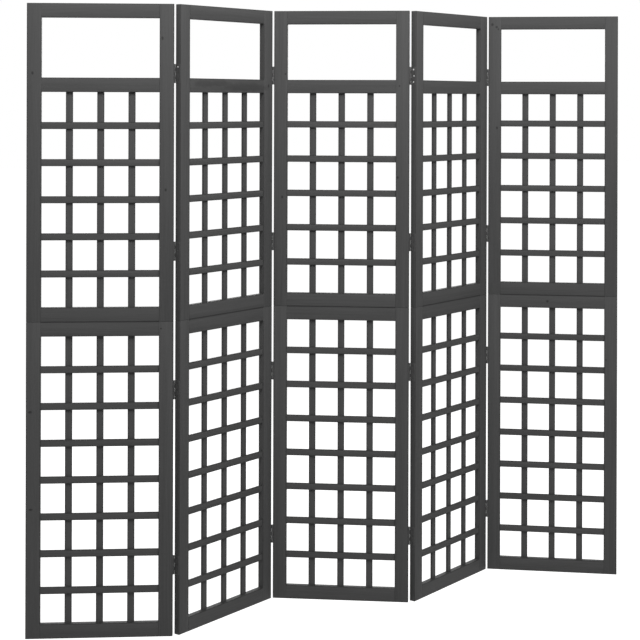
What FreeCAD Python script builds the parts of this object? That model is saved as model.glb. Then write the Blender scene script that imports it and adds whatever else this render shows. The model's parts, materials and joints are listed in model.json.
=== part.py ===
import FreeCAD, Part
import math
import os

# A five-panel folding screen: an open lattice of painted fir, standing in a zigzag.
#
# Millimetres.  +Z is up.  +X runs along the line through the screen's two ends, and
# -Y is the side that faces the viewer, the front.  The origin is on the floor, in the
# middle of the box around the screen.
#
# Each panel is made of two half-height frames, one standing on the other.  Panels are
# numbered 1 to 5 from left to right, seen from the front.  A panel is built in its own
# coordinates: u to the right along it, v from its front face to its back face, z up.

# whole screen
SCREEN_HEIGHT = 1800.0
PANEL_WIDTH = 415.0
PANEL_GAP = 3.0  # between two stiles when the screen is drawn out flat
PANEL_COUNT = 5

# how far each pair of panels is folded where the screen stands, in degrees:
# 0 is flat and 180 is folded face to face
FOLDS = {"1_2": 49.0, "2_3": 58.5, "3_4": 58.5, "4_5": 61.0}
# the face on which each hinge knuckle stands, so the way in which that pair closes
KNUCKLE_FACE = {"1_2": "back", "2_3": "front", "3_4": "back", "4_5": "front"}

# frame boards
BOARD_WIDTH = 41.0
BOARD_THICKNESS = 18.0
BOARD_EASE = 0.8  # chamfer on the long edges
SEAM_HEIGHT = 896.0  # where the upper frame stands on the lower one
WINDOW_HEIGHT = 170.0  # the open field above the upper lattice
TENON_LENGTH = 24.0
TENON_THICKNESS = 8.0
TENON_SHOULDER = 6.0  # above and below the tenon

# lattice slats, crossbars in front and uprights behind
SLAT_WIDTH = 20.0
SLAT_THICKNESS = 6.0
SLAT_EASE = 0.5
SLAT_HOUSING = 6.0  # how deep a slat's end is let into its frame board
SLAT_SETBACK = 3.0  # from the front face to the crossbars
UPRIGHT_COUNT = 3
UPPER_CROSSBARS = 5
LOWER_CROSSBARS = 7

# butt hinges, four to a joint
HINGE_LENGTH = 55.0
HINGE_FROM_END = 198.0  # hinge centre to the nearer end of its half-height frame
LEAF_THICKNESS = 1.1
LEAF_WIDTH = 17.5
LEAF_LET_IN = 0.9  # how deep a leaf lies in the stile's edge
KNUCKLE_RADIUS = PANEL_GAP / 2.0 + LEAF_LET_IN
KNUCKLE_COUNT = 5
KNUCKLE_PLAY = 0.2  # between two knuckles, and between a leaf and the other's knuckles
PIN_RADIUS = 1.2
PIN_PLAY = 0.05  # radial, in the knuckles that turn on the pin
PIN_EASE = 0.3

# hinge screws
SCREW_HEAD_RADIUS = 2.4
SCREW_HEAD_DEPTH = 1.4
SCREW_RADIUS = 1.2
SCREW_LENGTH = 13.0
SCREW_TIP = 3.0
SCREW_SPACING = 19.0
SCREW_STAGGER = 2.0
RECESS_LENGTH = 2.8
RECESS_WIDTH = 0.7
RECESS_DEPTH = 0.7

# what holds the two half-height frames together
DOWEL_RADIUS = 4.0
DOWEL_LENGTH = 40.0
DOWEL_FROM_EDGE = 9.0
SEAM_SCREW_HEAD_RADIUS = 3.5
SEAM_SCREW_HEAD_DEPTH = 2.6
SEAM_SCREW_RADIUS = 1.8
SEAM_SCREW_LENGTH = 60.0
SEAM_SCREW_TIP = 5.0

HINGE_HEIGHTS = [
    end + turn * HINGE_FROM_END
    for end, turn in ((0.0, 1), (SEAM_HEIGHT, -1), (SEAM_HEIGHT, 1), (SCREEN_HEIGHT, -1))
]
SLAT_FRONT = SLAT_SETBACK
SLAT_MIDDLE = SLAT_FRONT + SLAT_THICKNESS  # the plane where the two layers meet
SLAT_BACK = SLAT_MIDDLE + SLAT_THICKNESS


def point(u, v, z=0.0):
    return FreeCAD.Vector(u, v, z)


def block(u_span, v_span, z_span):
    """A plain box between two values on each axis, given in either order."""
    low = [min(span) for span in (u_span, v_span, z_span)]
    high = [max(span) for span in (u_span, v_span, z_span)]
    return Part.makeBox(*[b - a for a, b in zip(low, high)], point(*low))


def board(u_span, v_span, z_span, ease):
    """A planed board: a box whose four long edges are chamfered."""
    plain = block(u_span, v_span, z_span)
    longest = max(edge.Length for edge in plain.Edges)
    long_edges = [edge for edge in plain.Edges if edge.Length > longest - 0.001]
    return plain.makeChamfer(ease, long_edges)


def spaced(low, high, count, width):
    """Centres of count slats that leave equal openings between low and high."""
    opening = (high - low - count * width) / (count + 1)
    return [low + opening + width / 2.0 + i * (opening + width) for i in range(count)]


def screw(length, radius, tip, head_radius, head_depth):
    """A countersunk screw that points along +Z, with its head's face at z 0."""
    head = Part.makeCone(head_radius, radius, head_depth)
    shank_end = length - tip
    shank = Part.makeCylinder(radius, shank_end - head_depth, point(0, 0, head_depth))
    end = Part.makeCone(radius, 0.2 * radius, tip, point(0, 0, shank_end))
    return head.fuse([shank, end]).removeSplitter()


def with_recess(body):
    """The same screw with a cross recess in its head."""
    long_half = RECESS_LENGTH / 2.0
    narrow_half = RECESS_WIDTH / 2.0
    depth = (0.0, RECESS_DEPTH)
    one = block((-long_half, long_half), (-narrow_half, narrow_half), depth)
    other = block((-narrow_half, narrow_half), (-long_half, long_half), depth)
    return body.cut([one, other])


HINGE_SCREW_HOLE = screw(
    SCREW_LENGTH, SCREW_RADIUS, SCREW_TIP, SCREW_HEAD_RADIUS, SCREW_HEAD_DEPTH
)
HINGE_SCREW = with_recess(HINGE_SCREW_HOLE)
SEAM_SCREW_HOLE = screw(
    SEAM_SCREW_LENGTH,
    SEAM_SCREW_RADIUS,
    SEAM_SCREW_TIP,
    SEAM_SCREW_HEAD_RADIUS,
    SEAM_SCREW_HEAD_DEPTH,
)
SEAM_SCREW = with_recess(SEAM_SCREW_HOLE)


def placed(shape, where, axis=(0, 0, 1), angle=0.0):
    """A copy of a shape, turned about an axis through its own origin, then moved."""
    copy = shape.copy()
    copy.Placement = FreeCAD.Placement(where, FreeCAD.Rotation(FreeCAD.Vector(*axis), angle))
    return copy


# ---- the frame boards and the lattice of one panel --------------------------------


def stile(u_low, z_span):
    """An upright frame board, before its mortises are cut."""
    return board((u_low, u_low + BOARD_WIDTH), (0.0, BOARD_THICKNESS), z_span, BOARD_EASE)


def rail(z_low):
    """A cross board between the stiles, with a tenon on each end."""
    shoulder = (BOARD_WIDTH, PANEL_WIDTH - BOARD_WIDTH)
    body = board(shoulder, (0.0, BOARD_THICKNESS), (z_low, z_low + BOARD_WIDTH), BOARD_EASE)
    tenon = block(
        (shoulder[0] - TENON_LENGTH, shoulder[1] + TENON_LENGTH),
        (
            (BOARD_THICKNESS - TENON_THICKNESS) / 2.0,
            (BOARD_THICKNESS + TENON_THICKNESS) / 2.0,
        ),
        (z_low + TENON_SHOULDER, z_low + BOARD_WIDTH - TENON_SHOULDER),
    )
    return body.fuse(tenon).removeSplitter()


def crossbar(z_centre):
    """A level slat of the lattice, let into both stiles."""
    return board(
        (BOARD_WIDTH - SLAT_HOUSING, PANEL_WIDTH - BOARD_WIDTH + SLAT_HOUSING),
        (SLAT_FRONT, SLAT_MIDDLE),
        (z_centre - SLAT_WIDTH / 2.0, z_centre + SLAT_WIDTH / 2.0),
        SLAT_EASE,
    )


def upright(u_centre, z_low, z_high):
    """An upright slat behind the crossbars, let into the rails above and below."""
    return board(
        (u_centre - SLAT_WIDTH / 2.0, u_centre + SLAT_WIDTH / 2.0),
        (SLAT_MIDDLE, SLAT_BACK),
        (z_low - SLAT_HOUSING, z_high + SLAT_HOUSING),
        SLAT_EASE,
    )


def half_frame(z_span, rail_lows, lattice_span, crossbar_count):
    """The boards of one half-height frame, with every mortise still to be cut."""
    columns = spaced(BOARD_WIDTH, PANEL_WIDTH - BOARD_WIDTH, UPRIGHT_COUNT, SLAT_WIDTH)
    rows = spaced(*lattice_span, crossbar_count, SLAT_WIDTH)
    return {
        "stiles": [stile(0.0, z_span), stile(PANEL_WIDTH - BOARD_WIDTH, z_span)],
        "rails": [rail(z_low) for z_low in rail_lows],
        "crossbars": [crossbar(z) for z in rows],
        "uprights": [upright(u, *lattice_span) for u in columns],
    }


def upper_half():
    middle_rail = SCREEN_HEIGHT - 2.0 * BOARD_WIDTH - WINDOW_HEIGHT
    return half_frame(
        (SEAM_HEIGHT, SCREEN_HEIGHT),
        [SEAM_HEIGHT, middle_rail, SCREEN_HEIGHT - BOARD_WIDTH],
        (SEAM_HEIGHT + BOARD_WIDTH, middle_rail),
        UPPER_CROSSBARS,
    )


def lower_half():
    return half_frame(
        (0.0, SEAM_HEIGHT),
        [0.0, SEAM_HEIGHT - BOARD_WIDTH],
        (BOARD_WIDTH, SEAM_HEIGHT - BOARD_WIDTH),
        LOWER_CROSSBARS,
    )


def seam_dowels():
    """The dowels in the stiles' ends, where the upper frame stands on the lower one."""
    bottom = SEAM_HEIGHT - DOWEL_LENGTH / 2.0
    return [
        Part.makeCylinder(DOWEL_RADIUS, DOWEL_LENGTH, point(u, BOARD_THICKNESS / 2.0, bottom))
        for u in (DOWEL_FROM_EDGE, PANEL_WIDTH - DOWEL_FROM_EDGE)
    ]


def seam_screws(pattern):
    """Screws driven up through the lower frame's top rail, in the outer openings."""
    columns = spaced(BOARD_WIDTH, PANEL_WIDTH - BOARD_WIDTH, UPRIGHT_COUNT, SLAT_WIDTH)
    first = (BOARD_WIDTH + columns[0] - SLAT_WIDTH / 2.0) / 2.0
    head_height = SEAM_HEIGHT - BOARD_WIDTH
    return [
        placed(pattern, point(u, BOARD_THICKNESS / 2.0, head_height))
        for u in (first, PANEL_WIDTH - first)
    ]


# ---- hinges, in the coordinates of the panel that each half is screwed to ---------


def hinge_side(edge, face):
    """Where a hinge axis stands beside a panel, and which way the panel lies from it.

    Returns the axis as (u, v), the sign of u from the axis to the panel, and the sign
    of v from the axis to the panel.
    """
    u_axis = PANEL_WIDTH + PANEL_GAP / 2.0 if edge == "right" else -PANEL_GAP / 2.0
    v_axis = BOARD_THICKNESS + KNUCKLE_RADIUS if face == "back" else -KNUCKLE_RADIUS
    return (u_axis, v_axis), (-1 if edge == "right" else 1), (-1 if face == "back" else 1)


def hinge_screws(edge, face, pattern):
    """The screws of every hinge half on one edge of a panel, three to a leaf."""
    (u_axis, v_axis), u_sign, v_sign = hinge_side(edge, face)
    head_u = u_axis + u_sign * (KNUCKLE_RADIUS - LEAF_THICKNESS)
    row_v = v_axis + v_sign * (KNUCKLE_RADIUS + LEAF_WIDTH / 2.0)
    found = []
    for height in HINGE_HEIGHTS:
        for step in (-1, 0, 1):
            shift = SCREW_STAGGER if step == 0 else 0.0
            where = point(head_u, row_v + v_sign * shift, height + step * SCREW_SPACING)
            found.append(placed(pattern, where, (0, 1, 0), u_sign * 90.0))
    return found


def leaf_recesses(edge):
    """The shallow cuts across one edge of a panel in which its hinge leaves lie."""
    if edge == "right":
        u_span = (PANEL_WIDTH - LEAF_LET_IN, PANEL_WIDTH + LEAF_LET_IN)
    else:
        u_span = (-LEAF_LET_IN, LEAF_LET_IN)
    half = HINGE_LENGTH / 2.0
    return [
        block(u_span, (0.0, BOARD_THICKNESS), (height - half, height + half))
        for height in HINGE_HEIGHTS
    ]


def knuckle_spans(height, own):
    """The spans along the axis of the knuckles of one leaf: the odd or the even ones."""
    pitch = HINGE_LENGTH / KNUCKLE_COUNT
    bottom = height - HINGE_LENGTH / 2.0
    return [(bottom + i * pitch, bottom + (i + 1) * pitch) for i in range(own, KNUCKLE_COUNT, 2)]


def leaf(edge, face, height):
    """One half of a hinge: a flat leaf whose edge is rolled into knuckles."""
    (u_axis, v_axis), u_sign, v_sign = hinge_side(edge, face)
    own, other = (0, 1) if edge == "right" else (1, 0)
    plate = block(
        (u_axis + u_sign * KNUCKLE_RADIUS, u_axis + u_sign * (KNUCKLE_RADIUS - LEAF_THICKNESS)),
        (v_axis, v_axis + v_sign * (KNUCKLE_RADIUS + LEAF_WIDTH)),
        (height - HINGE_LENGTH / 2.0, height + HINGE_LENGTH / 2.0),
    )
    # at the other leaf's knuckles the plate stops just short of their circle
    notch = math.sqrt(
        (KNUCKLE_RADIUS + KNUCKLE_PLAY) ** 2 - (KNUCKLE_RADIUS - LEAF_THICKNESS) ** 2
    )
    notches = [
        block(
            (u_axis - KNUCKLE_RADIUS - 1.0, u_axis + KNUCKLE_RADIUS + 1.0),
            (v_axis - v_sign, v_axis + v_sign * notch),
            (low - KNUCKLE_PLAY / 2.0, high + KNUCKLE_PLAY / 2.0),
        )
        for low, high in knuckle_spans(height, other)
    ]
    rolls = []
    bores = []
    bore_radius = PIN_RADIUS if own == 0 else PIN_RADIUS + PIN_PLAY
    for low, high in knuckle_spans(height, own):
        low = low + (KNUCKLE_PLAY / 2.0 if low > height - HINGE_LENGTH / 2.0 else 0.0)
        high = high - (KNUCKLE_PLAY / 2.0 if high < height + HINGE_LENGTH / 2.0 else 0.0)
        centre = point(u_axis, v_axis, low)
        rolls.append(Part.makeCylinder(KNUCKLE_RADIUS, high - low, centre))
        bores.append(Part.makeCylinder(bore_radius, high - low, centre))
    return plate.cut(notches).fuse(rolls).cut(bores).removeSplitter()


def leaves(edge, face):
    """The four hinge halves on one edge of a panel, drilled for their screws."""
    holes = hinge_screws(edge, face, HINGE_SCREW_HOLE)
    return [leaf(edge, face, height).cut(holes) for height in HINGE_HEIGHTS]


def hinge_pins(edge, face):
    """The four fixed pins, held in the leaves on a panel's right edge."""
    (u_axis, v_axis), _, _ = hinge_side(edge, face)
    pins = []
    for height in HINGE_HEIGHTS:
        base = point(u_axis, v_axis, height - HINGE_LENGTH / 2.0)
        pin = Part.makeCylinder(PIN_RADIUS, HINGE_LENGTH, base)
        rims = [edge for edge in pin.Edges if edge.Length < HINGE_LENGTH and edge.isClosed()]
        pins.append(pin.makeChamfer(PIN_EASE, rims))
    return pins


# ---- where the panels stand -------------------------------------------------------


def joint_name(left_panel):
    return f"{left_panel}_{left_panel + 1}"


def turned(vector, degrees):
    return FreeCAD.Rotation(point(0, 0, 1), degrees).multVec(vector)


def standing_panels():
    """Each panel's placement in the standing screen, from panel 1 to panel 5."""
    heading = 0.0
    corner = point(0, 0)
    spots = [(corner, heading)]
    for left in range(1, PANEL_COUNT):
        face = KNUCKLE_FACE[joint_name(left)]
        right_side, _, _ = hinge_side("right", face)
        left_side, _, _ = hinge_side("left", face)
        axis = corner + turned(point(*right_side), heading)
        fold = FOLDS[joint_name(left)]
        heading = heading + (fold if face == "back" else -fold)
        corner = axis - turned(point(*left_side), heading)
        spots.append((corner, heading))

    # turn the whole screen until its two ends lie on a line along X
    half = BOARD_THICKNESS / 2.0
    first_end = spots[0][0] + turned(point(0, half), spots[0][1])
    last_end = spots[-1][0] + turned(point(PANEL_WIDTH, half), spots[-1][1])
    span = last_end - first_end
    lean = math.degrees(math.atan2(span.y, span.x))
    spots = [(turned(corner, -lean), heading - lean) for corner, heading in spots]

    # and move the middle of its box to the origin
    plan = [
        corner + turned(point(u, v), heading)
        for corner, heading in spots
        for u in (0.0, PANEL_WIDTH)
        for v in (0.0, BOARD_THICKNESS)
    ]
    middle = point(
        (min(p.x for p in plan) + max(p.x for p in plan)) / 2.0,
        (min(p.y for p in plan) + max(p.y for p in plan)) / 2.0,
    )
    return [
        FreeCAD.Placement(corner - middle, FreeCAD.Rotation(point(0, 0, 1), heading))
        for corner, heading in spots
    ]


SPOTS = standing_panels()


def hinge_axis(left_panel):
    """The foot of the axis between a panel and the next one, on the floor."""
    side, _, _ = hinge_side("right", KNUCKLE_FACE[joint_name(left_panel)])
    return SPOTS[left_panel - 1].multVec(point(*side))


# ---- writing the nodes ------------------------------------------------------------


def write_node(name, panel, solids):
    """Puts a group of a panel's solids where that panel stands, in one STEP file."""
    moved = []
    for solid in solids:
        copy = solid.copy()
        copy.Placement = SPOTS[panel - 1].multiply(copy.Placement)
        if not copy.isValid() or len(copy.Solids) != 1:
            raise ValueError(f"{name} has a bad solid")
        moved.append(copy.Solids[0])
    Part.makeCompound(moved).exportStep(f"parts/{name}.step")


def cut_by(shape, tools):
    """A board with the holes and mortises of whatever passes into it."""
    near = [tool for tool in tools if tool.BoundBox.intersect(shape.BoundBox)]
    return shape.cut(near) if near else shape


def half_nodes(parts, hinged_edges, dowels, seam_holes):
    """The finished boards of one half-height frame, by the name of their group."""
    stiles = []
    for edge, plain in zip(("left", "right"), parts["stiles"]):
        tools = parts["rails"] + parts["crossbars"] + dowels
        if edge in hinged_edges:
            tools = tools + leaf_recesses(edge)
            tools = tools + hinge_screws(edge, hinged_edges[edge], HINGE_SCREW_HOLE)
        stiles.append(cut_by(plain, tools))
    rails = [cut_by(plain, parts["uprights"] + seam_holes) for plain in parts["rails"]]
    return {"stiles": stiles, "rails": rails, "crossbars": parts["crossbars"]}


def build_panel(number):
    """Writes every node of one panel, with the hinge halves that it carries."""
    hinged_edges = {}
    if number > 1:
        hinged_edges["left"] = KNUCKLE_FACE[joint_name(number - 1)]
    if number < PANEL_COUNT:
        hinged_edges["right"] = KNUCKLE_FACE[joint_name(number)]

    halves = {"upper": upper_half(), "lower": lower_half()}
    dowels = seam_dowels()
    seam_holes = seam_screws(SEAM_SCREW_HOLE)
    for half, parts in halves.items():
        for group, solids in half_nodes(parts, hinged_edges, dowels, seam_holes).items():
            write_node(f"panel_{number}_{half}_{group}", number, solids)
    uprights = halves["upper"]["uprights"] + halves["lower"]["uprights"]
    write_node(f"panel_{number}_uprights", number, uprights)
    write_node(f"panel_{number}_seam_dowels", number, dowels)

    screws = seam_screws(SEAM_SCREW)
    for edge, face in hinged_edges.items():
        screws = screws + hinge_screws(edge, face, HINGE_SCREW)
        joint = joint_name(number if edge == "right" else number - 1)
        write_node(f"hinge_{joint}_{edge_leaf(edge)}", number, leaves(edge, face))
        if edge == "right":
            write_node(f"hinge_{joint}_pins", number, hinge_pins(edge, face))
    write_node(f"panel_{number}_screws", number, screws)


def edge_leaf(edge):
    """A hinge's left leaf is the one on the right edge of the panel to its left."""
    return "left_leaves" if edge == "right" else "right_leaves"


os.makedirs("parts", exist_ok=True)
for panel in range(1, PANEL_COUNT + 1):
    build_panel(panel)
for panel in range(1, PANEL_COUNT):
    foot = hinge_axis(panel)
    print(f"hinge axis {joint_name(panel)}: x {foot.x:.3f}, y {foot.y:.3f}")
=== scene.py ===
import json
import math
import random

import bpy
from mathutils import Matrix, Vector


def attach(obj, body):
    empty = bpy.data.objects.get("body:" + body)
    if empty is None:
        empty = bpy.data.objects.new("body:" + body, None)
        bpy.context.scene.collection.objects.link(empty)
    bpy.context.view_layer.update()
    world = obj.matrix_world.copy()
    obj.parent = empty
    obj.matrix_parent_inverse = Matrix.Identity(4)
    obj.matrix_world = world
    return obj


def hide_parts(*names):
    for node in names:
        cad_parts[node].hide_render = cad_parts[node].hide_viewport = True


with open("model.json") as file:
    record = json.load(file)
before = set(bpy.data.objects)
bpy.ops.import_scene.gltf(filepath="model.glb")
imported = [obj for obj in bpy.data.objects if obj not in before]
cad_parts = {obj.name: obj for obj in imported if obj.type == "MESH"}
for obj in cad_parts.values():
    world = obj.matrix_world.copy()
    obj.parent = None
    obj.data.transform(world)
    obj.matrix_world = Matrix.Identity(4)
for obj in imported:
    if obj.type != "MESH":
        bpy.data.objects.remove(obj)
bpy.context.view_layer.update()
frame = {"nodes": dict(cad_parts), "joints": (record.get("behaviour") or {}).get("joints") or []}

# ---- Where the panels stand -------------------------------------------------------
# Five panels stand in a zigzag on upright hinge axes.  Each is made flat, in its own
# coordinates (u along it, v from its front face to its back face, z up), and put
# where the hinge axes say that it stands.

PANEL_COUNT = 5
PANEL_WIDTH = 0.415
BOARD_THICKNESS = 0.018
PANEL_GAP = 0.003
LEAF_LET_IN = 0.0009  # how deep a hinge leaf lies in the panel's edge
KNUCKLE_RADIUS = PANEL_GAP / 2 + LEAF_LET_IN
KNUCKLE_FACE = {1: "back", 2: "front", 3: "back", 4: "front"}  # by the panel on its left

joints = {joint["name"]: joint for joint in frame["joints"]}


def joint_after(panel):
    return joints[f"fold_{panel}_{panel + 1}"]


def axis_beside(edge, face):
    """The hinge axis at one edge of a panel, in the panel's own coordinates."""
    u = PANEL_WIDTH + PANEL_GAP / 2 if edge == "right" else -PANEL_GAP / 2
    v = BOARD_THICKNESS + KNUCKLE_RADIUS if face == "back" else -KNUCKLE_RADIUS
    return Vector((u, v, 0.0))


def panel_heading(panel):
    """The turn about Z of a panel that has a hinge axis at both edges."""
    here = axis_beside("right", KNUCKLE_FACE[panel])
    here -= axis_beside("left", KNUCKLE_FACE[panel - 1])
    there = Vector(joint_after(panel)["pos_m"]) - Vector(joint_after(panel - 1)["pos_m"])
    return math.atan2(there.y, there.x) - math.atan2(here.y, here.x)


def panel_place(panel):
    """The matrix that puts a panel where it stands."""
    if panel == 1:
        heading = panel_heading(2) + math.radians(joint_after(1)["range_deg"][0])
        edge, hinge = "right", 1
    elif panel == PANEL_COUNT:
        heading = panel_heading(4) + math.radians(joint_after(4)["range_deg"][0])
        edge, hinge = "left", 4
    else:
        heading, edge, hinge = panel_heading(panel), "right", panel
    turn = Matrix.Rotation(heading, 4, "Z")
    axis = Vector(joint_after(hinge)["pos_m"])
    foot = axis - turn @ axis_beside(edge, KNUCKLE_FACE[hinge])
    return Matrix.Translation(foot) @ turn


PLACES = {panel: panel_place(panel) for panel in range(1, PANEL_COUNT + 1)}

# ---- Stiles -----------------------------------------------------------------------
# Planed fir boards, 41 x 18 mm, with eased edges, stained dark grey.  Each half-height
# frame has two.  The upper pair stands on the ends of the lower pair, and shallow cuts
# across the edges take the hinge leaves.

SCREEN_HEIGHT = 1.8
SEAM_HEIGHT = 0.896
BOARD_WIDTH = 0.041
BOARD_EASE = 0.0011
WINDOW_HEIGHT = 0.170
MIDDLE_RAIL = SCREEN_HEIGHT - 2 * BOARD_WIDTH - WINDOW_HEIGHT
RAIL_HEIGHTS = {
    "upper": [SEAM_HEIGHT, MIDDLE_RAIL, SCREEN_HEIGHT - BOARD_WIDTH],
    "lower": [0.0, SEAM_HEIGHT - BOARD_WIDTH],
}
AXES = {"u": 0, "v": 1, "z": 2}
HINGE_LENGTH = 0.055
HINGE_FROM_END = 0.198
HINGE_HEIGHTS = [
    HINGE_FROM_END,
    SEAM_HEIGHT - HINGE_FROM_END,
    SEAM_HEIGHT + HINGE_FROM_END,
    SCREEN_HEIGHT - HINGE_FROM_END,
]

CUT_PAST = 0.001  # how far a cutter reaches past the surface that it cuts

draw = random.Random(11)


def deselect():
    for thing in bpy.context.selected_objects:
        thing.select_set(False)


def activate(thing):
    deselect()
    thing.select_set(True)
    bpy.context.view_layer.objects.active = thing


def box_between(low, high):
    deselect()
    centre = [(a + b) / 2 for a, b in zip(low, high)]
    size = [b - a for a, b in zip(low, high)]
    bpy.ops.mesh.primitive_cube_add(size=1, location=centre, scale=size)
    bpy.ops.object.transform_apply(location=True, rotation=False, scale=True)
    return bpy.context.object


def combine(piece, others, operation):
    """Joins other shapes to a piece, or cuts them out of it, and removes them."""
    for other in others:
        change = piece.modifiers.new("combine", "BOOLEAN")
        change.operation = operation
        change.solver = "EXACT"
        change.object = other
        activate(piece)
        bpy.ops.object.modifier_apply(modifier=change.name)
        bpy.data.objects.remove(other)


def select_edges(piece, wanted):
    """Enters edit mode with the edges selected whose two end points pass a test."""
    activate(piece)
    bpy.ops.object.mode_set(mode="EDIT")
    bpy.ops.mesh.select_mode(type="EDGE")
    bpy.ops.mesh.select_all(action="DESELECT")
    bpy.ops.object.mode_set(mode="OBJECT")
    for edge in piece.data.edges:
        edge.select = wanted(*(piece.data.vertices[end].co for end in edge.vertices))
    bpy.ops.object.mode_set(mode="EDIT")


def select_faces(piece, wanted):
    """Enters edit mode with the faces selected that pass a test."""
    activate(piece)
    bpy.ops.object.mode_set(mode="EDIT")
    bpy.ops.mesh.select_mode(type="FACE")
    bpy.ops.mesh.select_all(action="DESELECT")
    bpy.ops.object.mode_set(mode="OBJECT")
    for face in piece.data.polygons:
        face.select = wanted(face)
    bpy.ops.object.mode_set(mode="EDIT")


def plank(low, high, length_axis, ease, round_ends=False, cut_ends=None, cut_sides=None):
    """A planed board between two corners, its long edges rounded over from end to end."""
    wood = box_between(low, high)
    if cut_ends:
        cut_ends(wood)
    along = AXES[length_axis]
    length = high[along] - low[along]
    select_edges(wood, lambda a, b: round_ends or abs(a[along] - b[along]) > 0.99 * length)
    bpy.ops.mesh.bevel(offset=ease, segments=3, profile=0.5, affect="EDGES")
    bpy.ops.object.mode_set(mode="OBJECT")
    if cut_sides:
        cut_sides(wood)
    bpy.ops.object.shade_smooth_by_angle(angle=math.radians(30))
    return wood


def grain_along(wood, low, high, length_axis, width_axis):
    """Stores each point's place in its board, in metres from the board's centre: along
    the grain, across the face and through the thickness.  A number of its own keeps
    each board's grain unlike the next one's, an upright board also knows which way the
    panel's middle lies, and level tops are marked for a painted shade."""
    order = [AXES[length_axis], AXES[width_axis], AXES["v"]]
    centre = [(a + b) / 2 for a, b in zip(low, high)]
    mesh = wood.data
    place = mesh.attributes.new("board_place", "FLOAT_VECTOR", "POINT")
    for vertex, entry in zip(mesh.vertices, place.data):
        entry.vector = [vertex.co[axis] - centre[axis] for axis in order]
    number = mesh.attributes.new("board_number", "FLOAT", "POINT")
    inward = mesh.attributes.new("board_inward", "FLOAT", "POINT")
    value = draw.random()
    middle_side = math.copysign(1.0, PANEL_WIDTH / 2 - centre[0]) if length_axis == "z" else 0.0
    for number_entry, inward_entry in zip(number.data, inward.data):
        number_entry.value = value
        inward_entry.value = middle_side
    # faces that look up are marked, to take a painted shade
    level = mesh.attributes.new("painted_top_shade", "FLOAT", "FACE")
    for face, entry in zip(mesh.polygons, level.data):
        entry.value = 1.0 if face.normal.z > 0.5 else 0.0


def joined(pieces, name):
    """Several pieces as one object with one mesh."""
    activate(pieces[0])
    for piece in pieces:
        piece.select_set(True)
    if len(pieces) > 1:
        bpy.ops.object.join()
    whole = bpy.context.object
    whole.name = name
    return whole


def stand_in_panel(piece, panel, node):
    """Puts a finished piece in its panel, where it takes the place of a plain node."""
    piece.data.transform(PLACES[panel])
    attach(piece, f"panel_{panel}")
    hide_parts(node)


def board_group(panel, node, spans, length_axis, width_axis, ease, material, slot, **shaping):
    """Makes a group of like boards, each from its lowest and highest corner."""
    boards = []
    for low, high in spans:
        wood = plank(low, high, length_axis, ease, **shaping)
        grain_along(wood, low, high, length_axis, width_axis)
        boards.append(wood)
    group = joined(boards, f"{node}_wood")
    group.data.materials.clear()
    group.data.materials.append(material)
    stand_in_panel(group, panel, node)
    return group


# The stain is one finish on every board, so its node groups are built here, where the
# first boards are, and the slats take them again with their own sizes.

FLOAT = "NodeSocketFloat"
VECTOR = "NodeSocketVector"


def new_group(name, inputs, outputs):
    """An empty node group, with the sockets that its nodes read and those that they fill."""
    group = bpy.data.node_groups.new(name, "ShaderNodeTree")
    for label, kind in inputs.items():
        group.interface.new_socket(label, in_out="INPUT", socket_type=kind)
    for label in outputs:
        group.interface.new_socket(label, in_out="OUTPUT", socket_type=FLOAT)
    return group, group.nodes.new("NodeGroupInput").outputs, group.nodes.new("NodeGroupOutput").inputs


def fill(tree, socket, value):
    """Links a node's output to a socket, or sets the socket to a plain value."""
    if isinstance(value, bpy.types.NodeSocket):
        tree.links.new(value, socket)
    else:
        socket.default_value = value


def use_group(tree, group, **values):
    """Places a node group, fills its sockets and gives its outputs."""
    node = tree.nodes.new("ShaderNodeGroup")
    node.node_tree = group
    for label, value in values.items():
        fill(tree, node.inputs[label.replace("_", " ")], value)
    return node.outputs


def calc(tree, operation, *values, clamp=False):
    """A math node's result."""
    node = tree.nodes.new("ShaderNodeMath")
    node.operation = operation
    node.use_clamp = clamp
    for socket, value in zip(node.inputs, values):
        fill(tree, socket, value)
    return node.outputs[0]


def product(tree, *values):
    """Several values multiplied together."""
    result = values[0]
    for value in values[1:]:
        result = calc(tree, "MULTIPLY", result, value)
    return result


def hypotenuse(tree, first, second):
    squares = [calc(tree, "MULTIPLY", value, value) for value in (first, second)]
    return calc(tree, "SQRT", calc(tree, "ADD", *squares))


def vector_calc(tree, operation, first, second):
    """A vector math node's vector."""
    node = tree.nodes.new("ShaderNodeVectorMath")
    node.operation = operation
    fill(tree, node.inputs[0], first)
    fill(tree, node.inputs[1], second)
    return node.outputs[0]


def parts_of(tree, vector):
    """A vector's X, Y and Z."""
    node = tree.nodes.new("ShaderNodeSeparateXYZ")
    tree.links.new(vector, node.inputs[0])
    return node.outputs


def attribute(tree, name):
    """What the mesh stores under a name, as a node's outputs."""
    node = tree.nodes.new("ShaderNodeAttribute")
    node.attribute_name = name
    return node.outputs


def object_place(tree):
    return tree.nodes.new("ShaderNodeTexCoord").outputs["Object"]


def ramp(tree, value, start, end, low=0.0, high=1.0):
    """A smooth step from low to high as value goes from start to end."""
    node = tree.nodes.new("ShaderNodeMapRange")
    node.interpolation_type = "SMOOTHSTEP"
    for label, entry in (
        ("Value", value),
        ("From Min", start),
        ("From Max", end),
        ("To Min", low),
        ("To Max", high),
    ):
        fill(tree, node.inputs[label], entry)
    return node.outputs["Result"]


def stretched_noise(tree, place, scale, detail, roughness=0.55, distortion=0.0):
    """Noise in [0, 1] whose features are 1/scale metres long on each axis."""
    noise = tree.nodes.new("ShaderNodeTexNoise")
    noise.inputs["Scale"].default_value = 1.0
    noise.inputs["Detail"].default_value = detail
    noise.inputs["Roughness"].default_value = roughness
    noise.inputs["Distortion"].default_value = distortion
    tree.links.new(vector_calc(tree, "MULTIPLY", place, scale), noise.inputs["Vector"])
    return noise.outputs["Fac"]


def grey(value):
    """A linear grey, as a colour socket takes it."""
    return (value, value, value, 1.0)


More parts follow.
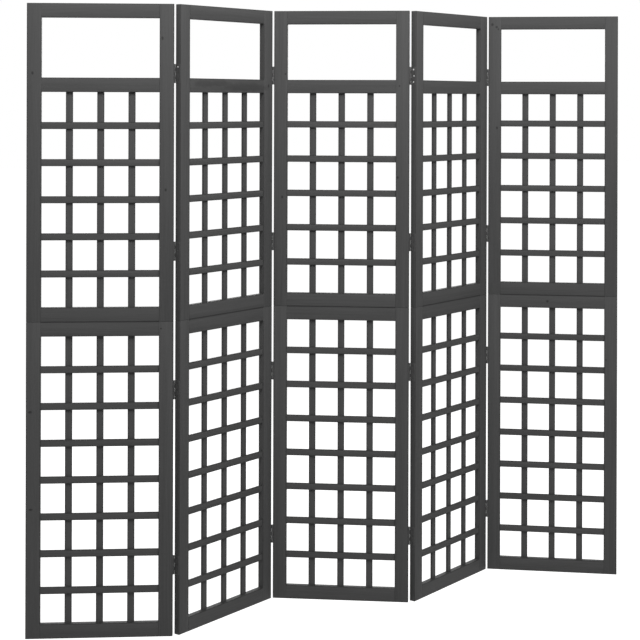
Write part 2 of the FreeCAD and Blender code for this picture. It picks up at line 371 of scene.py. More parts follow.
def mix_colours(tree, factor, first, second):
    """The first colour where factor is 0, the second where it is 1."""
    mix = tree.nodes.new("ShaderNodeMix")
    mix.data_type = "RGBA"
    fill(tree, mix.inputs["Factor"], factor)
    fill(tree, mix.inputs["A"], first)
    fill(tree, mix.inputs["B"], second)
    return mix.outputs["Result"]


def new_material(name):
    """A material, its node tree and its shader."""
    material = bpy.data.materials.new(name)
    material.use_nodes = True
    return material, material.node_tree, material.node_tree.nodes["Principled BSDF"]


def add_bump(tree, shader, height, strength, distance):
    bump = tree.nodes.new("ShaderNodeBump")
    bump.inputs["Strength"].default_value = strength
    bump.inputs["Distance"].default_value = distance
    tree.links.new(height, bump.inputs["Height"])
    tree.links.new(bump.outputs["Normal"], shader.inputs["Normal"])


NARROW_SIDE_WEIGHT = 3.0


def edge_group():
    """Distance in metres from a point on a board to the nearest of its long edges, which
    counts threefold on the narrow sides."""
    group, start, end = new_group(
        "board_edge_distance", {"Place": VECTOR, "Half Width": FLOAT, "Half Thickness": FLOAT}, ["Distance"]
    )
    _, across, deep = parts_of(group, start["Place"])
    to_side = calc(group, "SUBTRACT", start["Half Width"], calc(group, "ABSOLUTE", across))
    to_face = calc(group, "SUBTRACT", start["Half Thickness"], calc(group, "ABSOLUTE", deep))
    nearest = calc(group, "MAXIMUM", to_side, calc(group, "MULTIPLY", to_face, NARROW_SIDE_WEIGHT))
    group.links.new(nearest, end["Distance"])
    return group


def rail_joint_group():
    """Where a rail meets a stile's inner edge, so that the edge isn't an open one and takes
    neither the painted edge shade nor the rubbed wear.
    """
    group, start, end = new_group(
        "rail_joints", {"Height": FLOAT, "Across": FLOAT, "Inward": FLOAT}, ["Mask"]
    )
    half, blur = BOARD_WIDTH / 2, 0.001
    met = 0.0
    for z in RAIL_HEIGHTS["lower"] + RAIL_HEIGHTS["upper"]:
        off = calc(group, "ABSOLUTE", calc(group, "SUBTRACT", start["Height"], z + half))
        met = calc(group, "ADD", met, ramp(group, off, half + blur, half - blur))
    inner = calc(group, "GREATER_THAN", calc(group, "MULTIPLY", start["Across"], start["Inward"]), 0.0)
    group.links.new(calc(group, "MULTIPLY", met, inner, clamp=True), end["Mask"])
    return group


RING_SPACING = 0.0031
PITH_DEPTH = 0.034  # how far in front of a board's middle the tree's centre lay
KNOT_CELLS = 18.0  # to the metre, with a knot in about one cell in a hundred
KNOT_SWIRL = 0.006  # how far the rings bend round a knot


def grain_group():
    """Fir's grain in a board: slow streaks, growth rings, fibres and a few knots."""
    group, start, end = new_group(
        "fir_grain", {"Place": VECTOR, "Number": FLOAT}, ["Streaks", "Rings", "Fibres", "Knots"]
    )
    shift = group.nodes.new("ShaderNodeCombineXYZ")
    for socket, reach in zip(shift.inputs, (91.0, 37.0, 53.0)):
        group.links.new(calc(group, "MULTIPLY", start["Number"], reach), socket)
    place = vector_calc(group, "ADD", start["Place"], shift.outputs[0])

    cells = group.nodes.new("ShaderNodeTexVoronoi")
    cells.inputs["Scale"].default_value = KNOT_CELLS
    cells.inputs["Randomness"].default_value = 0.9
    group.links.new(place, cells.inputs["Vector"])
    tint = group.nodes.new("ShaderNodeSeparateColor")
    group.links.new(cells.outputs["Color"], tint.inputs[0])
    kept = ramp(group, tint.outputs["Red"], 0.985, 0.99)
    heart = ramp(group, cells.outputs["Distance"], 0.11, 0.05)
    around = ramp(group, cells.outputs["Distance"], 0.45, 0.05)
    group.links.new(calc(group, "MULTIPLY", heart, kept), end["Knots"])
    swirl = product(group, around, kept, KNOT_SWIRL)

    streaks = stretched_noise(group, place, (2.6, 70.0, 70.0), 3.0, 0.6, 0.3)
    fibres = stretched_noise(group, place, (22.0, 900.0, 900.0), 3.0, 0.6)
    group.links.new(streaks, end["Streaks"])
    group.links.new(fibres, end["Fibres"])

    # growth rings round a pith that lies outside the board and wanders along it
    _, across, deep = parts_of(group, start["Place"])
    wander = stretched_noise(group, place, (1.9, 3.0, 3.0), 1.0)
    pith_side = calc(group, "MULTIPLY", calc(group, "SUBTRACT", start["Number"], 0.5), 0.07)
    drift = calc(group, "MULTIPLY", calc(group, "SUBTRACT", wander, 0.5), 0.05)
    from_pith_across = calc(group, "SUBTRACT", calc(group, "ADD", across, drift), pith_side)
    from_pith_deep = calc(group, "ADD", calc(group, "ADD", deep, PITH_DEPTH), swirl)
    radius = hypotenuse(group, from_pith_across, from_pith_deep)
    wave = calc(group, "SINE", calc(group, "MULTIPLY", radius, 2 * math.pi / RING_SPACING))
    late_wood = calc(group, "POWER", calc(group, "MULTIPLY_ADD", wave, 0.5, 0.5), 3.0)
    group.links.new(late_wood, end["Rings"])
    return group


def spot_group():
    """A knot or a cloudy patch at a given place on the standing screen: dark at its
    centre and ragged at its edge."""
    group, start, end = new_group(
        "dark_spot",
        {"Position": VECTOR, "Centre": VECTOR, "Half Width": FLOAT, "Half Height": FLOAT, "Grain": FLOAT},
        ["Mask"],
    )
    x, y, z = parts_of(group, vector_calc(group, "SUBTRACT", start["Position"], start["Centre"]))
    wide = calc(group, "DIVIDE", hypotenuse(group, x, y), start["Half Width"])
    tall = calc(group, "DIVIDE", z, start["Half Height"])
    ragged = group.nodes.new("ShaderNodeTexNoise")
    ragged.inputs["Detail"].default_value = 3.0
    group.links.new(start["Position"], ragged.inputs["Vector"])
    group.links.new(start["Grain"], ragged.inputs["Scale"])
    edge = calc(group, "MULTIPLY_ADD", ragged.outputs["Fac"], 1.1, 0.45)
    reach = calc(group, "DIVIDE", hypotenuse(group, wide, tall), edge)
    group.links.new(ramp(group, reach, 1.15, 0.45), end["Mask"])
    return group


EDGE_DISTANCE = edge_group()
RAIL_JOINTS = rail_joint_group()
FIR_GRAIN = grain_group()
DARK_SPOT = spot_group()

# knots that show on the front, then the broad cloudy patches: panel, u, z, half width
# and half height, all in metres
FRONT_KNOTS = [
    (1, 0.3822, 1.7017, 0.0040, 0.0060),
    (1, 0.0163, 1.6015, 0.0035, 0.0055),
    (1, 0.3919, 1.2702, 0.0035, 0.0050),
    (1, 0.3799, 0.8760, 0.0030, 0.0030),
    (1, 0.0120, 0.6420, 0.0065, 0.0045),
    (1, 0.0140, 0.3660, 0.0070, 0.0035),
    (2, 0.3962, 1.5699, 0.0040, 0.0060),
    (3, 0.3800, 1.2920, 0.0040, 0.0050),
    (3, 0.0260, 1.2300, 0.0035, 0.0050),
    (3, 0.0352, 1.6070, 0.0030, 0.0030),
    (3, 0.3848, 1.5708, 0.0030, 0.0035),
    (5, 0.0119, 1.7748, 0.0050, 0.0055),
    (5, 0.0258, 1.7666, 0.0045, 0.0045),
    (5, 0.0314, 1.7600, 0.0030, 0.0040),
    (5, 0.0277, 1.4380, 0.0035, 0.0055),
    (5, 0.3796, 0.6912, 0.0030, 0.0030),
]
CLOUDY_PATCHES = [
    (2, 0.105, 1.5730, 0.055, 0.0130),
    (2, 0.170, 1.5755, 0.055, 0.0110),
    (2, 0.290, 1.5650, 0.120, 0.0160),
]


def front_point(panel, u, z):
    return PLACES[panel] @ Vector((u, 0.0, z))


STAIN = (0.078, 0.078, 0.078)  # linear colour of the dark grey stain in full light
THIN_STAIN = (0.15, 0.145, 0.135, 1.0)  # where it is rubbed
# painted shade along the open edges: how dark right at the edge, and how far in it reaches
PAINTED_EDGE_SHADE_TONE = 0.5  # right at an open edge, as a share of the plain stain's tone
PAINTED_EDGE_SHADE_REACH = 0.0034
# painted shade on the level tops, as a share taken off the stain's tone
LEVEL_TOP_PAINTED_SHADE = 0.55
KNOT_DARKENING = 0.62
PATCH_DARKENING = 0.27


def stained_fir(name, half_width, half_thickness, knots=(), patches=(), meets_rails=False):
    """Fir under a thin dark grey stain: dull satin, with the grain just showing."""
    material, tree, shader = new_material(name)
    place = attribute(tree, "board_place")["Vector"]
    number = attribute(tree, "board_number")["Fac"]
    position = object_place(tree)

    grain = use_group(tree, FIR_GRAIN, Place=place, Number=number)
    sizes = {"Half_Width": half_width, "Half_Thickness": half_thickness}
    edge = use_group(tree, EDGE_DISTANCE, Place=place, **sizes)["Distance"]
    if meets_rails:
        joint = use_group(
            tree,
            RAIL_JOINTS,
            Height=parts_of(tree, position)["Z"],
            Across=parts_of(tree, place)["Y"],
            Inward=attribute(tree, "board_inward")["Fac"],
        )
        edge = calc(tree, "ADD", edge, joint["Mask"])

    # tone: 1 is the plain stain; along the open edges and on the level tops it is darkened
    # by a painted shade
    own = calc(tree, "FRACT", calc(tree, "MULTIPLY", number, 7.3))
    tone = product(
        tree,
        ramp(tree, grain["Streaks"], 0.3, 0.7, 0.92, 1.07),
        ramp(tree, grain["Fibres"], 0.3, 0.7, 0.95, 1.05),
        calc(tree, "MULTIPLY_ADD", grain["Rings"], -0.07, 1.015),
        ramp(tree, own, 0.0, 1.0, 0.96, 1.04),
        ramp(tree, edge, 0.0006, PAINTED_EDGE_SHADE_REACH, PAINTED_EDGE_SHADE_TONE, 1.0),
        calc(tree, "MULTIPLY_ADD", attribute(tree, "painted_top_shade")["Fac"], -LEVEL_TOP_PAINTED_SHADE, 1.0),
    )

    def darkened(spots, mask, grain_scale, share):
        for panel, u, z, half_width, half_height in spots:
            spot = use_group(
                tree,
                DARK_SPOT,
                Position=position,
                Centre=front_point(panel, u, z),
                Half_Width=half_width,
                Half_Height=half_height,
                Grain=grain_scale,
            )
            mask = calc(tree, "MAXIMUM", mask, spot["Mask"])
        return calc(tree, "MULTIPLY", tone, calc(tree, "MULTIPLY_ADD", mask, -share, 1.0))

    tone = darkened(knots, grain["Knots"], 500.0, KNOT_DARKENING)
    if patches:
        tone = darkened(patches, 0.0, 60.0, PATCH_DARKENING)
    stain = vector_calc(tree, "MULTIPLY", STAIN, tone)

    # here and there the finish is rubbed thin on the very edge
    worn_places = stretched_noise(tree, position, (60.0, 60.0, 25.0), 2.0)
    rubbed = product(tree, ramp(tree, edge, 0.0008, 0.0003), ramp(tree, worn_places, 0.6, 0.72), 0.3)
    tree.links.new(mix_colours(tree, rubbed, stain, THIN_STAIN), shader.inputs["Base Color"])

    rough = calc(tree, "MULTIPLY_ADD", grain["Fibres"], 0.16, 0.56)
    tree.links.new(rough, shader.inputs["Roughness"])
    shader.inputs["Specular IOR Level"].default_value = 0.22
    relief = calc(tree, "MULTIPLY_ADD", grain["Rings"], 0.5, grain["Fibres"])
    add_bump(tree, shader, relief, 0.35, 0.0003)
    return material


FRAME_WOOD = stained_fir(
    "grey_fir_boards",
    BOARD_WIDTH / 2,
    BOARD_THICKNESS / 2,
    knots=FRONT_KNOTS,
    patches=CLOUDY_PATCHES,
    meets_rails=True,
)


def stile_spans(z_low, z_high):
    right = PANEL_WIDTH - BOARD_WIDTH
    return [
        ((0.0, 0.0, z_low), (BOARD_WIDTH, BOARD_THICKNESS, z_high)),
        ((right, 0.0, z_low), (PANEL_WIDTH, BOARD_THICKNESS, z_high)),
    ]


def let_in_leaves(panel, z_low, z_high):
    """Gives the cut that makes the hinge leaves' places in a panel's hinged edges."""
    edges = ([0.0] if panel > 1 else []) + ([PANEL_WIDTH] if panel < PANEL_COUNT else [])

    def cut_recesses(wood):
        sides = [vertex.co.x for vertex in wood.data.vertices]
        recesses = [
            box_between(
                (edge - LEAF_LET_IN, -CUT_PAST, z - HINGE_LENGTH / 2),
                (edge + LEAF_LET_IN, BOARD_THICKNESS + CUT_PAST, z + HINGE_LENGTH / 2),
            )
            for edge in edges
            if min(sides) - 1e-6 < edge < max(sides) + 1e-6
            for z in HINGE_HEIGHTS
            if z_low < z < z_high
        ]
        combine(wood, recesses, "DIFFERENCE")

    return cut_recesses


for panel in PLACES:
    for half, z_low, z_high in (("upper", SEAM_HEIGHT, SCREEN_HEIGHT), ("lower", 0.0, SEAM_HEIGHT)):
        board_group(
            panel,
            f"panel_{panel}_{half}_stiles",
            stile_spans(z_low, z_high),
            "z",
            "u",
            BOARD_EASE,
            FRAME_WOOD,
            "frame_board_wood",
            round_ends=True,
            cut_sides=let_in_leaves(panel, z_low, z_high),
        )

# ---- Rails ------------------------------------------------------------------------
# The level boards between the stiles, of the same 41 x 18 mm stock, with a tenon on
# each end glued into the stiles.  The upper frame has three, with the clear field
# between the top two, and the lower frame has two.

TENON_LENGTH = 0.024
TENON_INSET = 0.0055


def cut_tenons(wood):
    """Insets each end face and draws it out into a tenon."""
    for way in (-1, 1):
        select_faces(wood, lambda face: face.normal.x * way > 0.999)
        bpy.ops.mesh.inset(thickness=TENON_INSET, depth=0.0)
        drawn = (way * TENON_LENGTH, 0.0, 0.0)
        bpy.ops.mesh.extrude_region_move(TRANSFORM_OT_translate={"value": drawn})
        bpy.ops.object.mode_set(mode="OBJECT")


for panel in PLACES:
    for half, heights in RAIL_HEIGHTS.items():
        shoulders = (BOARD_WIDTH, PANEL_WIDTH - BOARD_WIDTH)
        board_group(
            panel,
            f"panel_{panel}_{half}_rails",
            [
                ((shoulders[0], 0.0, z), (shoulders[1], BOARD_THICKNESS, z + BOARD_WIDTH))
                for z in heights
            ],
            "u",
            "z",
            BOARD_EASE,
            FRAME_WOOD,
            "frame_board_wood",
            cut_ends=cut_tenons,
        )

# ---- Lattice ----------------------------------------------------------------------
# Thin fir slats, 20 x 6 mm, in two layers that touch: the crossbars in front, let into
# the stiles, and the uprights behind them, let into the rails.  They are glued where
# they cross.

SLAT_WIDTH = 0.020
SLAT_THICKNESS = 0.006
SLAT_EASE = 0.0007
SLAT_SETBACK = 0.003
SLAT_HOUSING = 0.006
SLAT_COUNTS = {"upper": 5, "lower": 7}
UPRIGHT_COUNT = 3
LATTICE_FIELDS = {
    "upper": (SEAM_HEIGHT + BOARD_WIDTH, MIDDLE_RAIL),
    "lower": (BOARD_WIDTH, SEAM_HEIGHT - BOARD_WIDTH),
}


def spaced(low, high, count):
    """Centres of count slats that leave equal openings between low and high."""
    opening = (high - low - count * SLAT_WIDTH) / (count + 1)
    return [low + opening + SLAT_WIDTH / 2 + i * (opening + SLAT_WIDTH) for i in range(count)]


SLAT_WOOD = stained_fir("grey_fir_slats", SLAT_WIDTH / 2, SLAT_THICKNESS / 2)
SLAT_MIDDLE = SLAT_SETBACK + SLAT_THICKNESS
SLAT_BACK = SLAT_MIDDLE + SLAT_THICKNESS
LET_IN = (BOARD_WIDTH - SLAT_HOUSING, PANEL_WIDTH - BOARD_WIDTH + SLAT_HOUSING)

for panel in PLACES:
    upright_spans = []
    for half, (z_low, z_high) in LATTICE_FIELDS.items():
        board_group(
            panel,
            f"panel_{panel}_{half}_crossbars",
            [
                (
                    (LET_IN[0], SLAT_SETBACK, z - SLAT_WIDTH / 2),
                    (LET_IN[1], SLAT_MIDDLE, z + SLAT_WIDTH / 2),
                )
                for z in spaced(z_low, z_high, SLAT_COUNTS[half])
            ],
            "u",
            "z",
            SLAT_EASE,
            SLAT_WOOD,
            "lattice_slat_wood",
        )
        upright_spans += [
            (
                (u - SLAT_WIDTH / 2, SLAT_MIDDLE, z_low - SLAT_HOUSING),
                (u + SLAT_WIDTH / 2, SLAT_BACK, z_high + SLAT_HOUSING),
            )
            for u in spaced(BOARD_WIDTH, PANEL_WIDTH - BOARD_WIDTH, UPRIGHT_COUNT)
        ]
    board_group(
        panel,
        f"panel_{panel}_uprights",
        upright_spans,
        "z",
        "u",
        SLAT_EASE,
        SLAT_WOOD,
        "lattice_slat_wood",
    )

# ---- Hinges -----------------------------------------------------------------------
# Four 55 mm butt hinges join each pair of panels: two pressed steel leaves, painted
# dark grey, whose edges are rolled into knuckles round a fixed pin.  The leaves are let
# into the stiles' edges, across their full width, with the knuckle proud of one face.

KNUCKLE_COUNT = 5
KNUCKLE_PLAY = 0.0002
LEAF_THICKNESS = 0.0011
LEAF_WIDTH = 0.0175
PIN_RADIUS = 0.0012
SCREW_SPACING = 0.019
SCREW_STAGGER = 0.002
SCREW_HEAD_RADIUS = 0.0024
SCREW_HEAD_DEPTH = 0.0014
SINK_PLAY = 0.0002  # how much wider a countersink is than the screw head in it
SINK_TAPER = 0.0008
METAL_EDGE = 0.00014

# A leaf is made for a right edge whose knuckle is at the back, with the hinge axis on
# Z.  Half turns carry it to the other edge and the other face.
HALF_TURNS = {
    ("right", "back"): Matrix.Identity(4),
    ("right", "front"): Matrix.Rotation(math.pi, 4, "X"),
    ("left", "front"): Matrix.Rotation(math.pi, 4, "Z"),
    ("left", "back"): Matrix.Rotation(math.pi, 4, "Y"),
}


def rod_between(radius, low, high, u=0.0, v=0.0, sides=40):
    deselect()
    bpy.ops.mesh.primitive_cylinder_add(
        vertices=sides, radius=radius, depth=high - low, location=(u, v, (low + high) / 2)
    )
    bpy.ops.object.transform_apply(location=True, rotation=False, scale=False)
    return bpy.context.object


def break_edges(piece, width, segments=2):
    """Rounds every sharp edge of a metal piece a little."""
    activate(piece)
    soften = piece.modifiers.new("soften", "BEVEL")
    soften.width = width
    soften.segments = segments
    soften.limit_method = "ANGLE"
    soften.angle_limit = math.radians(40)
    bpy.ops.object.modifier_apply(modifier=soften.name)
    bpy.ops.object.shade_smooth_by_angle(angle=math.radians(35))


def knuckle_spans(first):
    """From where to where every other knuckle goes, from the first (0) or second (1) on."""
    pitch = HINGE_LENGTH / KNUCKLE_COUNT
    foot = -HINGE_LENGTH / 2
    return [(foot + i * pitch, foot + (i + 1) * pitch) for i in range(first, KNUCKLE_COUNT, 2)]


def screw_places():
    """Screw heads on a leaf: (v, z), the middle one set a little further from the axis."""
    row = -(KNUCKLE_RADIUS + LEAF_WIDTH / 2)
    return [(row - (SCREW_STAGGER if step == 0 else 0.0), step * SCREW_SPACING) for step in (-1, 0, 1)]


def hinge_leaf(own, other):
    """One leaf, with the odd (0) or the even (1) knuckles."""
    plate = box_between(
        (-KNUCKLE_RADIUS, -(KNUCKLE_RADIUS + LEAF_WIDTH), -HINGE_LENGTH / 2),
        (-KNUCKLE_RADIUS + LEAF_THICKNESS, 0.0, HINGE_LENGTH / 2),
    )
    # at the other leaf's knuckles the plate stops just short of their circle
    notch = math.sqrt((KNUCKLE_RADIUS + KNUCKLE_PLAY) ** 2 - (KNUCKLE_RADIUS - LEAF_THICKNESS) ** 2)
    clear = 0.004  # well past both faces of the plate
    half_play = KNUCKLE_PLAY / 2
    notches = [
        box_between((-clear, -notch, low - half_play), (clear, CUT_PAST, high + half_play))
        for low, high in knuckle_spans(other)
    ]
    combine(plate, notches, "DIFFERENCE")
    rolls = [
        rod_between(KNUCKLE_RADIUS, low + half_play, high - half_play) for low, high in knuckle_spans(own)
    ]
    combine(plate, rolls, "UNION")
    combine(plate, [rod_between(PIN_RADIUS, -HINGE_LENGTH, HINGE_LENGTH)], "DIFFERENCE")
    sinks = []
    for v, z in screw_places():
        deselect()
        bpy.ops.mesh.primitive_cone_add(
            vertices=32,
            radius1=SCREW_HEAD_RADIUS + SINK_PLAY,
            radius2=SCREW_HEAD_RADIUS - SINK_TAPER,
            depth=LEAF_THICKNESS * 1.2,
            location=(-KNUCKLE_RADIUS + LEAF_THICKNESS / 2, v, z),
            rotation=(0.0, math.radians(-90.0), 0.0),
        )
        bpy.ops.object.transform_apply(location=True, rotation=True, scale=False)
        sinks.append(bpy.context.object)
    combine(plate, sinks, "DIFFERENCE")
    break_edges(plate, METAL_EDGE)
    return plate


def hinge_pin():
    """The fixed pin, its ends rounded over inside the outer knuckles."""
    pin = rod_between(PIN_RADIUS, -HINGE_LENGTH / 2, HINGE_LENGTH / 2)
    break_edges(pin, PIN_RADIUS * 0.35, 4)
    return pin


def screw(head_radius, head_depth, radius, length, tip):
    """A countersunk wood screw that points along -Z, its head's face at z 0."""
    rim = 0.0002
    body = rod_between(head_radius, -rim, 0.0, sides=32)
    steps = [
        (head_depth - rim, radius / head_radius),
        (length - tip - head_depth, 1.0),
        (tip, 0.2),
    ]
    depth = -rim
    for drop, narrowing in steps:
        select_faces(body, lambda face: face.normal.z < -0.99 and abs(face.center.z - depth) < 1e-6)
        bpy.ops.mesh.extrude_region_move(TRANSFORM_OT_translate={"value": (0.0, 0.0, -drop)})
        bpy.ops.transform.resize(value=(narrowing, narrowing, 1.0), center_override=(0.0, 0.0, 0.0))
        bpy.ops.object.mode_set(mode="OBJECT")
        depth -= drop
    arm, slot_width, slot_depth = head_radius * 0.58, head_radius * 0.15, head_depth * 0.5
    cross = [
        box_between((-arm, -slot_width, -slot_depth), (arm, slot_width, CUT_PAST)),
        box_between((-slot_width, -arm, -slot_depth), (slot_width, arm, CUT_PAST)),
    ]
    combine(body, cross, "DIFFERENCE")
    break_edges(body, head_radius * 0.035)
    return body


def rubbed_metal_group():
    """Where a finish is rubbed off metal: broad patches and fine scratches."""
    group, start, end = new_group(
        "rubbed_metal", {"Position": VECTOR, "From": FLOAT, "To": FLOAT}, ["Patches", "Scratches"]
    )
    patches = stretched_noise(group, start["Position"], (420.0, 420.0, 260.0), 4.0)
    group.links.new(ramp(group, patches, start["From"], start["To"]), end["Patches"])
    scratches = stretched_noise(group, start["Position"], (3000.0, 3000.0, 240.0), 2.0)
    group.links.new(scratches, end["Scratches"])
    return group


RUBBED_METAL = rubbed_metal_group()


def coated_steel(name, coat, bright, bare_from, bare_to, shine=1.0, glint_attribute=None):
    """Steel under a coat that is worn off in places, where the bright metal shows.
    A piece may carry an attribute that paints it bright as well, as a painted glint."""
    material, tree, shader = new_material(name)
    wear = use_group(tree, RUBBED_METAL, Position=object_place(tree), From=bare_from, To=bare_to)
    wear_and_glint = wear["Patches"]
    # the listed heads' painted glint is added to the rubbed wear
    if glint_attribute:
        wear_and_glint = calc(tree, "MAXIMUM", wear_and_glint, attribute(tree, glint_attribute)["Fac"])
    tree.links.new(mix_colours(tree, wear_and_glint, coat, bright), shader.inputs["Base Color"])
    tree.links.new(calc(tree, "MULTIPLY", wear_and_glint, shine), shader.inputs["Metallic"])
    rough = calc(tree, "MULTIPLY_ADD", wear["Scratches"], 0.2, 0.4)
    tree.links.new(calc(tree, "MULTIPLY_ADD", wear_and_glint, -0.2, rough), shader.inputs["Roughness"])
    shader.inputs["Specular IOR Level"].default_value = 0.3
    add_bump(tree, shader, wear["Scratches"], 0.15, 0.0001)
    return material


HINGE_STEEL = coated_steel("grey_painted_hinge_steel", grey(0.088), grey(0.42), 0.68, 0.78)
PIN_STEEL = coated_steel("bright_pin_steel", grey(0.30), grey(0.55), 0.2, 0.5)
# the screws' bright colour is rubbed wear, and on the listed heads a painted glint, with little metallic
# shine
SCREW_STEEL = coated_steel(
    "dark_screw_steel", grey(0.072), grey(0.92), 0.66, 0.76, shine=0.2, glint_attribute="head_painted_glint"
)

ODD_LEAF = hinge_leaf(0, 1)
EVEN_LEAF = hinge_leaf(1, 0)
PIN = hinge_pin()
SMALL_SCREW = screw(
    head_radius=SCREW_HEAD_RADIUS, head_depth=SCREW_HEAD_DEPTH, radius=0.0012, length=0.013, tip=0.003
)
leaf_face = Matrix.Translation((-KNUCKLE_RADIUS + LEAF_THICKNESS, 0.0, 0.0))
SMALL_SCREW.data.transform(leaf_face @ Matrix.Rotation(math.radians(90.0), 4, "Y"))


def copy_at(piece, matrix):
    """A copy of a finished piece with a mesh of its own, carried to its place."""
    copy = piece.copy()
    copy.data = piece.data.copy()
    copy.data.transform(matrix)
    bpy.context.scene.collection.objects.link(copy)
    return copy


def hinge_places(edge, face):
    """The matrices that put a hinge piece at each of the four heights of one edge."""
    axis = axis_beside(edge, face)
    return [Matrix.Translation((axis.x, axis.y, z)) @ HALF_TURNS[edge, face] for z in HINGE_HEIGHTS]


def finish_group(pieces, node, panel, material, ending):
    group = joined(pieces, f"{node}_{ending}")
    group.data.materials.clear()
    group.data.materials.append(material)
    stand_in_panel(group, panel, node)


# screw heads painted bright as painted glints, and how bright: panel, edge, hinge from
# the floor up, and screw from the bottom up
PAINTED_GLINT_HEADS = {
    (2, "left", 3, 2): 1.0,
    (4, "left", 3, 2): 1.0,
    (4, "left", 3, 1): 1.0,
    (4, "left", 3, 0): 0.9,
    (3, "left", 1, 1): 0.4,
    (5, "left", 2, 0): 0.4,
}


# paints a screw head bright: a painted glint
def paint_head_glint(piece, amount):
    entries = piece.data.attributes.new("head_painted_glint", "FLOAT", "POINT").data
    for entry in entries:
        entry.value = amount


hinge_screws = {panel: [] for panel in PLACES}
for left, face in KNUCKLE_FACE.items():
    name = f"hinge_{left}_{left + 1}"
    for edge, panel, leaf, side in (
        ("right", left, ODD_LEAF, "left"),
        ("left", left + 1, EVEN_LEAF, "right"),
    ):
        places = hinge_places(edge, face)
        finish_group(
            [copy_at(leaf, place) for place in places],
            f"{name}_{side}_leaves",
            panel,
            HINGE_STEEL,
            "steel",
        )
        for hinge, place in enumerate(places):
            # half turns about Y or X stand some leaves on their heads
            order = sorted(screw_places(), key=lambda spot: (place @ Vector((0.0, *spot))).z)
            for number, (v, z) in enumerate(order):
                spin = Matrix.Rotation(draw.uniform(0.0, math.pi), 4, "X")
                driven = copy_at(SMALL_SCREW, place @ Matrix.Translation((0.0, v, z)) @ spin)
                paint_head_glint(driven, PAINTED_GLINT_HEADS.get((panel, edge, hinge, number), 0.0))
                hinge_screws[panel].append(driven)
    pins = [copy_at(PIN, place) for place in hinge_places("right", face)]
    finish_group(pins, f"{name}_pins", left, PIN_STEEL, "steel")

# ---- Seam fixings -----------------------------------------------------------------
# Each upper frame stands on its lower frame on two beech dowels, in the ends of the
# stiles, and is held down by two long screws driven up through the lower top rail.

SEAM_SCREW = screw(head_radius=0.0035, head_depth=0.0026, radius=0.0018, length=0.060, tip=0.005)
SEAM_SCREW.data.transform(Matrix.Rotation(math.pi, 4, "X"))
first_upright = spaced(BOARD_WIDTH, PANEL_WIDTH - BOARD_WIDTH, UPRIGHT_COUNT)[0]
seam_screw_u = (BOARD_WIDTH + first_upright - SLAT_WIDTH / 2) / 2

for panel in PLACES:
    seam_screws = [
        copy_at(SEAM_SCREW, Matrix.Translation((u, BOARD_THICKNESS / 2, SEAM_HEIGHT - BOARD_WIDTH)))
        for u in (seam_screw_u, PANEL_WIDTH - seam_screw_u)
    ]
    screws = hinge_screws[panel] + seam_screws
    finish_group(screws, f"panel_{panel}_screws", panel, SCREW_STEEL, "steel")

for pattern in (ODD_LEAF, EVEN_LEAF, PIN, SMALL_SCREW, SEAM_SCREW):
    bpy.data.objects.remove(pattern)

DARK_BEECH = (0.46, 0.30, 0.17, 1.0)
PALE_BEECH = (0.62, 0.44, 0.27, 1.0)
beech, beech_tree, beech_shader = new_material("bare_beech")
figure = stretched_noise(beech_tree, object_place(beech_tree), (900.0, 900.0, 40.0), 3.0)
beech_tone = mix_colours(beech_tree, figure, DARK_BEECH, PALE_BEECH)
beech_tree.links.new(beech_tone, beech_shader.inputs["Base Color"])
beech_shader.inputs["Roughness"].default_value = 0.65
for panel in PLACES:
    dowels = frame["nodes"][f"panel_{panel}_seam_dowels"]
    dowels.data.materials.clear()
    dowels.data.materials.append(beech)

# ---- Camera -----------------------------------------------------------------------
# Eye height, level, a long way back and a little to the left, with the lens shifted
# down so that the screen's uprights stay upright.

camera_data = bpy.data.cameras.new("camera")
camera = bpy.data.objects.new("camera", camera_data)
bpy.context.scene.collection.objects.link(camera)
camera.location = (-1.5515, -4.4555, 1.5253)
camera.rotation_euler = (math.radians(90.0), math.radians(-0.158), math.radians(-18.878))
camera_data.sensor_width = 36.0
camera_data.lens = 86.83
camera_data.shift_x = -0.0139
camera_data.shift_y = -0.3426
bpy.context.scene.camera = camera

bpy.context.scene.view_settings.view_transform = "Standard"

# ---- Floor and light --------------------------------------------------------------
# A white studio.  The floor is pale where the screen stands, so that it takes a faint
# shadow, and plain white to the eye further off.  Wide soft lamps stand high in front of
# the screen and lower behind it, in an even white sky.

SKY_LIGHT = 0.14
NEAR_FLOOR = 0.5  # the floor's tone for light, under the screen and far off
FAR_FLOOR = 0.25
NEAR_GLOW = 0.92  # to the eye it glows almost white under the screen, and white far off
FLOOR_CHANGE = (1.5, 4.0)  # from where to where, in metres, the one turns into the other
LAMP_SIZE = (5.0, 1.2)


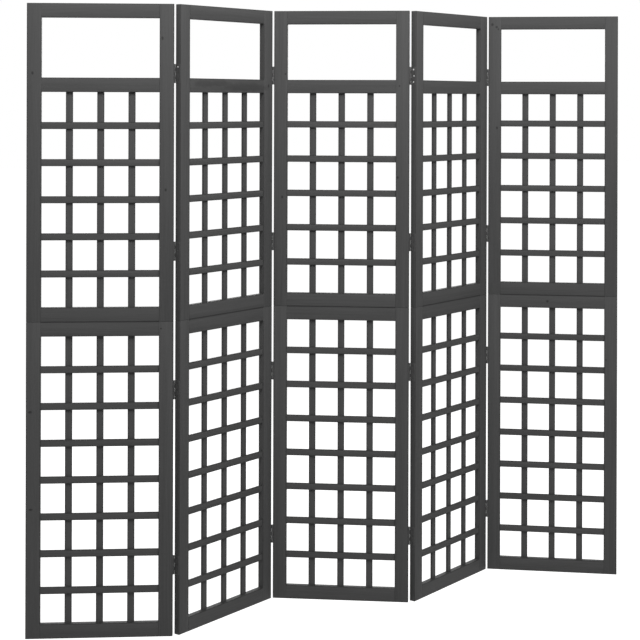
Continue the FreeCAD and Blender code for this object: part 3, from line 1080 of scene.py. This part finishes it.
def seen_directly(tree):
    """1 for what the camera, a mirror or clear glass shows, and 0 for light on a surface."""
    path = tree.nodes.new("ShaderNodeLightPath").outputs
    seen = calc(tree, "MAXIMUM", path["Is Camera Ray"], path["Is Glossy Ray"])
    return calc(tree, "MAXIMUM", seen, path["Is Transmission Ray"])


deselect()
bpy.ops.mesh.primitive_plane_add(size=60.0, location=(0.0, 0.0, 0.0))
floor = bpy.context.object
floor.name = "studio_floor"
floor_material, floor_tree, floor_shader = new_material("studio_floor")
floor_shader.inputs["Roughness"].default_value = 0.9
floor_shader.inputs["Specular IOR Level"].default_value = 0.0
distance = floor_tree.nodes.new("ShaderNodeVectorMath")
distance.operation = "LENGTH"
floor_tree.links.new(object_place(floor_tree), distance.inputs[0])
far_off = ramp(floor_tree, distance.outputs["Value"], *FLOOR_CHANGE)
floor_tone = mix_colours(floor_tree, far_off, grey(NEAR_FLOOR), grey(FAR_FLOOR))
floor_tree.links.new(floor_tone, floor_shader.inputs["Base Color"])
floor_shader.inputs["Emission Color"].default_value = grey(1.0)
glow = calc(floor_tree, "MULTIPLY_ADD", far_off, 1.0 - NEAR_GLOW, NEAR_GLOW)
glow = calc(floor_tree, "MULTIPLY", seen_directly(floor_tree), glow)
floor_tree.links.new(glow, floor_shader.inputs["Emission Strength"])
floor.data.materials.append(floor_material)

world = bpy.data.worlds.new("white_studio")
world.use_nodes = True
bpy.context.scene.world = world
sky = world.node_tree
background = sky.nodes["Background"]
background.inputs["Color"].default_value = grey(1.0)
sky_strength = calc(sky, "MULTIPLY_ADD", seen_directly(sky), 1.0 - SKY_LIGHT, SKY_LIGHT)
sky.links.new(sky_strength, background.inputs["Strength"])


def soft_lamp(name, place, aim, power):
    data = bpy.data.lights.new(name, "AREA")
    data.shape = "RECTANGLE"
    data.size, data.size_y = LAMP_SIZE
    data.energy = power
    lamp = bpy.data.objects.new(name, data)
    bpy.context.scene.collection.objects.link(lamp)
    lamp.location = place
    lamp.rotation_euler = (Vector(aim) - Vector(place)).to_track_quat("-Z", "Y").to_euler()


soft_lamp("high_front_lamp", place=(0.05, -2.1, 3.2), aim=(0.0, 0.0, 1.35), power=106.0)
soft_lamp("back_lamp", place=(0.0, 2.8, 2.0), aim=(0.0, 0.0, 1.0), power=60.0)
